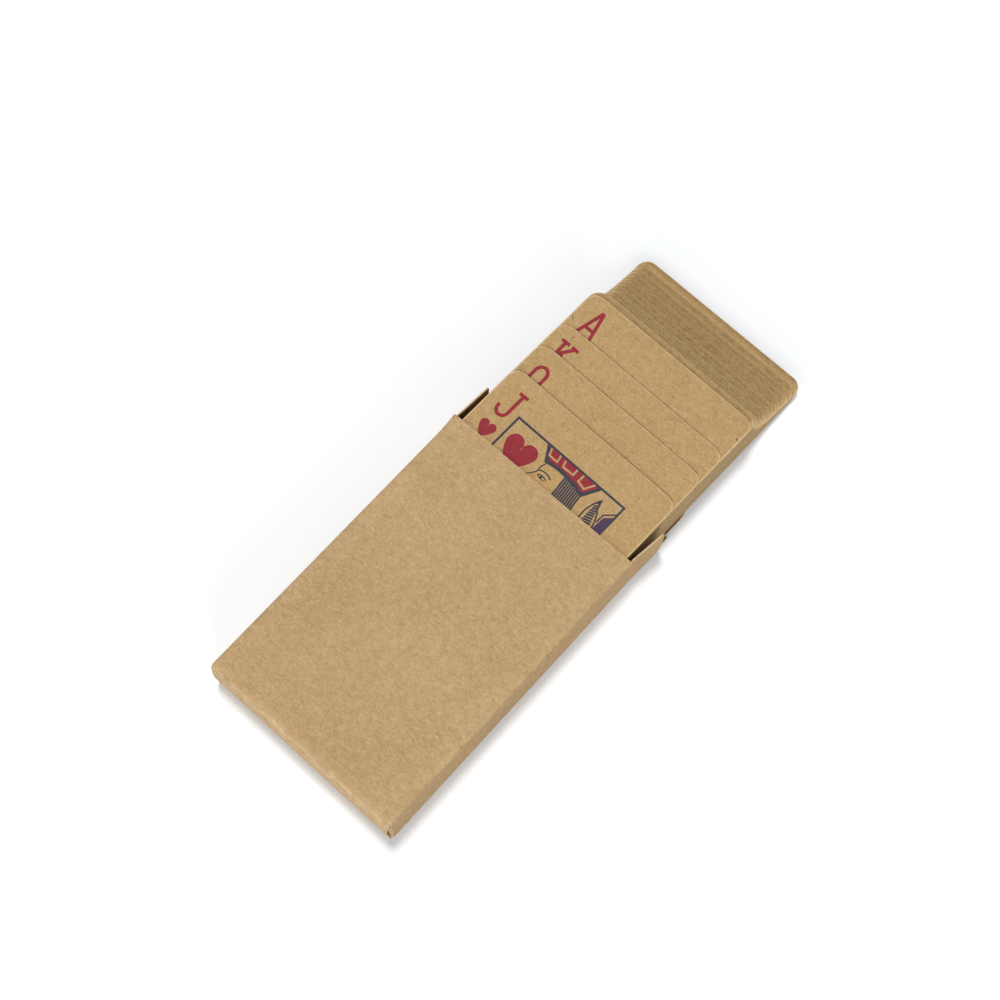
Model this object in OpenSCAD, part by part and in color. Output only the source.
// Tuck box of folded kraft board with a full deck of kraft playing cards drawn part of the way out.
// The box lies on its back panel. X runs across the box, +Y out of its mouth, +Z up.
// The origin is the middle of the back panel's underside.

/* [Cards] */
// Width of a card, the narrow size
card_w = 57; // [54:0.5:64]
// Height of a card
card_h = 88; // [84:0.5:92]
// Thickness of a card
card_t = 0.27; // [0.2:0.01:0.34]
// Radius of a card's corners
card_corner_r = 3.5; // [2:0.25:6]
// Air between one card and the next
card_air = 0.015; // [0.01:0.005:0.04]

/* [Deck as it lies] */
// Turn of the deck against the box, clockwise from above, in degrees
deck_skew = 1.1; // [0:0.1:1.3]
// Sideways place of the deck's middle line at the mouth
deck_shift = 0.14; // [0:0.02:0.2]
// How far the jack stands out of the mouth
jack_out = 20.7; // [10:0.1:26]
// How far the queen stands out
queen_out = 30.7; // [26:0.1:35]
// How far the king stands out
king_out = 39.4; // [35:0.1:45]
// How far the ace stands out
ace_out = 51.5; // [45:0.1:56]
// Step from the ace to the card under it
fan_step = 1.2; // [0:0.1:3]
// How much further the farthest card of the fan stands out
fan_reach = 20.9; // [10:0.1:24]
// Bend of the fan: near 1 the last cards spread most, a large value spreads all alike
fan_bend = 1.2; // [1.05:0.05:3]
// Number of cards that lie under the farthest one
under_count = 7; // [1:1:12]
// How far those are set back from the farthest one
under_back = 1.6; // [0.2:0.1:4]
// Small unevenness among the cards of the fan
fan_jitter = 0.22; // [0:0.02:0.4]

/* [Box board] */
// Thickness of the board
board_t = 0.4; // [0.3:0.05:0.6]
// Outside radius of the long creases and of the roll into the closed end
crease_r = 1; // [0.7:0.1:1.5]
// Room beside the cards, both sides together, past the glue flap
side_clear = 3.05; // [2.8:0.05:5]
// Room over the deck
deck_clear = 0.15; // [0.1:0.05:1]
// Gap between the lowest card and the back panel
floor_clear = 0.05; // [0.02:0.01:0.2]
// Room for the cards along the box
end_clear = 2.1; // [1:0.1:6]
// Width of the glue flap inside the left wall
glue_flap_w = 13; // [8:0.5:14]
// Slant at the two ends of the glue flap
glue_flap_slant = 4; // [1:0.5:8]
// How far two glued boards press into each other
glue_bond = 0.05; // [0.01:0.01:0.1]

/* [Closed end] */
// Gap at each side of the outer end panel
end_panel_inset = 0.5; // [0.2:0.1:1.5]
// Reach of each dust flap behind the end panels
end_dust_reach = 18; // [8:1:26]
// Slant of the end dust flaps' edges
end_dust_slant = 2.5; // [1:0.5:5]

/* [Open end] */
// Slit at a folding crease
crease_gap = 0.05; // [0.03:0.01:0.15]
// Step of the lid inside each side of the box
lid_inset = 0.3; // [0.1:0.1:1]
// Length of the tongue that tucks in
tongue_l = 15; // [10:0.5:20]
// Step of the tongue inside each side of the lid
tongue_inset = 0.8; // [0.4:0.1:3]
// Radius of the tongue's two free corners
tongue_corner_r = 9; // [4:0.5:12]
// Length of the dust flaps at the mouth
dust_l = 11.8; // [8:0.2:20]
// Step of a dust flap's edges inside the box's faces
dust_inset = 0.9; // [0.6:0.1:2]
// Radius of a dust flap's lower free corner
dust_corner_r = 2.5; // [1:0.25:5]
// Slant cut off a dust flap's upper free corner
dust_slant = 0.8; // [0.2:0.1:3]
// Outward turn of the right dust flap, in degrees
right_dust_turn = 3.5; // [0:0.5:30]
// Inward lean of the left dust flap, in degrees
left_dust_lean = 2; // [0:0.25:3]

/* [Hidden] */
$fn = 48;

// Names from the top of the stack to the bottom: four heart cards are fanned on top of the sorted suits
RANK_NAMES = ["ace", "two", "three", "four", "five", "six", "seven", "eight", "nine", "ten",
    "jack", "queen", "king"];
TOP_NAMES = ["jack_of_hearts", "queen_of_hearts", "king_of_hearts", "ace_of_hearts"];
LOW_HEARTS = [for (rank = [9 : -1 : 1]) str(RANK_NAMES[rank], "_of_hearts")];
OTHER_SUITS = ["spades", "diamonds", "clubs"];
LOWER_NAMES = [for (suit = OTHER_SUITS) for (rank = [12 : -1 : 0]) str(RANK_NAMES[rank], "_of_", suit)];
JOKER_NAMES = ["red_joker", "black_joker"];
CARD_NAMES = concat(TOP_NAMES, LOW_HEARTS, LOWER_NAMES, JOKER_NAMES);
BOX_NAMES = ["box_sleeve", "closed_end", "lid_panel", "lid_tongue", "left_dust_flap", "right_dust_flap"];

board_colour = "#c3a076";
card_colour = "#bc9b69";

card_count = len(CARD_NAMES);
top_count = len(TOP_NAMES);
card_pitch = card_t + card_air;
deck_t = card_count * card_pitch;

// The closed end is three glued boards deep: dust flaps, inner panel, outer panel
end_depth = 3 * board_t - 2 * glue_bond;
box_w = card_w + side_clear + 3 * board_t - glue_bond;
box_l = card_h + end_clear + end_depth;
box_t = deck_t + deck_clear + floor_clear + 2 * board_t;
mouth_y = box_l / 2;
end_y = -box_l / 2;
side_x = box_w / 2;
deck_z = board_t + floor_clear;

// The sleeve's walls stop where the end panels roll in
sleeve_end_y = end_y + crease_r;
inner_r = crease_r - board_t;
inner_end_y = end_y + board_t - glue_bond;
end_face_y = end_y + end_depth;

// Fan-out of the cards
last_fan = card_count - under_count - 1;
fan_first = top_count;
farthest_out = ace_out + fan_step + fan_reach;
top_out = [jack_out, queen_out, king_out, ace_out];

// 0 at the first card under the ace and 1 at the farthest card
function fan_share(i) = (i - fan_first) / (last_fan - fan_first);

// Rises slowly at first and steeply at the end, from 0 to 1
function fan_curve(s) = s * (fan_bend - 1) / (fan_bend - s);

// An uneven step for each card that is the same every time
function unevenness(i) = fan_jitter * sin(i * 137) * sin(i * 61 + 20);

function card_out(i) =
    i < top_count ? top_out[i] :
    i < last_fan ? ace_out + fan_step + fan_reach * fan_curve(fan_share(i)) + unevenness(i) :
    i == last_fan ? farthest_out :
    farthest_out - under_back + unevenness(i);

function card_base_z(i) = deck_z + (card_count - 1 - i) * card_pitch + card_air / 2;

// Rectangle with round corners, centred
module rounded_rect(w, h, r) {
    square([w - 2 * r, h], center = true);
    square([w, h - 2 * r], center = true);
    for (x = [-1, 1])
        for (y = [-1, 1])
            translate([x * (w / 2 - r), y * (h / 2 - r)])
                circle(r);
}

// Flat flap that grows from y = 0 with round corners at its free end
module round_ended_flap(w, l, r) {
    intersection() {
        translate([-w / 2, 0])
            square([w, l]);
        union() {
            translate([-w / 2, 0])
                square([w, l - r]);
            translate([-w / 2 + r, 0])
                square([w - 2 * r, l]);
            for (x = [-1, 1])
                translate([x * (w / 2 - r), l - r])
                    circle(r);
        }
    }
}

// Stands a profile drawn in X and Z along Y, from one place to another
module along_y(from_y, to_y) {
    translate([0, to_y, 0])
        rotate([90, 0, 0])
            linear_extrude(to_y - from_y)
                children();
}

// Stands a profile drawn in Y and Z across X, centred
module across_x(w) {
    rotate([90, 0, 90])
        translate([0, 0, -w / 2])
            linear_extrude(w)
                children();
}

// Board that comes in flat from +Y at the top, rolls through a quarter turn about the origin and runs down
module rolled_board(outer_r, run) {
    intersection() {
        translate([-outer_r, -run])
            square([outer_r, outer_r + run]);
        difference() {
            union() {
                circle(outer_r);
                translate([-outer_r, -run])
                    square([outer_r, run]);
            }
            circle(outer_r - board_t);
            translate([board_t - outer_r, -run - board_t])
                square([outer_r, run + board_t]);
        }
    }
}

// Wrapped walls: front, back and two sides, with the glue flap inside the left side
module box_sleeve() {
    glue_z = box_t / 2 - glue_flap_w / 2;
    glue_x = -side_x + board_t - glue_bond;
    color(board_colour)
        union() {
            along_y(sleeve_end_y, mouth_y)
                translate([0, box_t / 2])
                    difference() {
                        rounded_rect(box_w, box_t, crease_r);
                        rounded_rect(box_w - 2 * board_t, box_t - 2 * board_t, inner_r);
                    }
            translate([glue_x, 0, glue_z])
                rotate([90, 0, 90])
                    linear_extrude(board_t)
                        polygon([
                            [end_face_y, 0],
                            [mouth_y - board_t, 0],
                            [mouth_y - board_t - glue_flap_slant, glue_flap_w],
                            [end_face_y + glue_flap_slant, glue_flap_w]
                        ]);
        }
}

// Outer end panel, rolled down from the front panel
module outer_end_panel() {
    run = box_t - crease_r - board_t;
    across_x(box_w - 2 * end_panel_inset)
        translate([sleeve_end_y, box_t - crease_r])
            rolled_board(crease_r, run);
}

// Inner end panel, rolled up from the back panel behind the outer one
module inner_end_panel() {
    roll_r = sleeve_end_y - inner_end_y;
    run = box_t - crease_r - board_t - roll_r;
    across_x(box_w - 2 * crease_r - 2 * board_t)
        translate([sleeve_end_y, roll_r])
            mirror([0, 1])
                rolled_board(roll_r, run);
}

// Dust flap behind the end panels on one side, 1 for right and -1 for left
module end_dust_flap(side) {
    reach = end_dust_reach;
    tall = box_t - 2 * crease_r;
    root_x = side_x - board_t;
    translate([0, end_face_y, crease_r])
        rotate([90, 0, 0])
            linear_extrude(board_t)
                polygon([
                    [side * root_x, 0],
                    [side * (root_x - reach), end_dust_slant],
                    [side * (root_x - reach), tall - end_dust_slant],
                    [side * root_x, tall]
                ]);
}

// The closed end, glued shut
module closed_end() {
    color(board_colour) {
        outer_end_panel();
        inner_end_panel();
        for (side = [-1, 1])
            end_dust_flap(side);
    }
}

// Lid, which carries on flat from the back panel at the mouth
lid_w = box_w - 2 * lid_inset;
lid_l = box_t - board_t;
lid_y = mouth_y + crease_gap;
tongue_y = lid_y + lid_l + crease_gap;

module lid_panel() {
    color(board_colour)
        translate([-lid_w / 2, lid_y, 0])
            cube([lid_w, lid_l, board_t]);
}

module lid_tongue() {
    color(board_colour)
        translate([0, tongue_y, 0])
            linear_extrude(board_t)
                round_ended_flap(lid_w - 2 * tongue_inset, tongue_l, tongue_corner_r);
}

// Dust flap drawn in Y and Z from its crease at y = 0
module dust_flap_outline() {
    tall = box_t - 2 * dust_inset;
    difference() {
        union() {
            translate([0, dust_corner_r])
                square([dust_l, tall - dust_corner_r]);
            square([dust_l - dust_corner_r, tall]);
            translate([dust_l - dust_corner_r, dust_corner_r])
                circle(dust_corner_r);
        }
        translate([dust_l, tall])
            rotate(45)
                square(dust_slant * sqrt(2), center = true);
    }
}

// Dust flap hinged on the outer face of a side wall, 1 for right and -1 for left, turned outward
module dust_flap(side, turn) {
    color(board_colour)
        translate([side * side_x, mouth_y, dust_inset])
            rotate(-side * turn)
                translate([side < 0 ? 0 : -board_t, crease_gap, 0])
                    rotate([90, 0, 90])
                        linear_extrude(board_t)
                            dust_flap_outline();
}

module left_dust_flap() {
    dust_flap(-1, -left_dust_lean);
}

module right_dust_flap() {
    dust_flap(1, right_dust_turn);
}

// One card, its far edge standing out of the mouth by its own amount along the deck's middle line
module card(i) {
    color(card_colour)
        translate([deck_shift, mouth_y, card_base_z(i)])
            rotate(-deck_skew)
                translate([0, card_out(i) - card_h / 2, 0])
                    linear_extrude(card_t)
                        rounded_rect(card_w, card_h, card_corner_r);
}

box_sleeve();
closed_end();
lid_panel();
lid_tongue();
left_dust_flap();
right_dust_flap();
for (i = [0 : card_count - 1])
    card(i);
